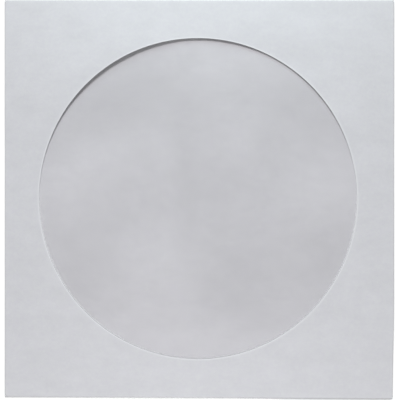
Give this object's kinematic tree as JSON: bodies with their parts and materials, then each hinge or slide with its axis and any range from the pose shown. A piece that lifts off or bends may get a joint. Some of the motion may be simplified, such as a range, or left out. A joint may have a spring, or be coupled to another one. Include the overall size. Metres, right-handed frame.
{
  "type": "cd sleeve",
  "caption": "Plain white paper sleeve for a compact disc, with a round clear window in the front and its closing flap folded behind.",
  "frame": {"origin": "centre of the sleeve's underside, where it lies on a table on its back", "axes": "+Z out of the window face, upwards; +Y towards the edge where the closing flap is folded; +X to the right, seen from the window side"},
  "size_m": [0.124, 0.127, 0.0026],
  "materials": {
    "paper": "matte",
    "clear_film": "gloss"
  },
  "bodies": {
    "root": {"paper_sleeve": "paper", "window_film": "clear_film"}
  },
  "joints": []
}
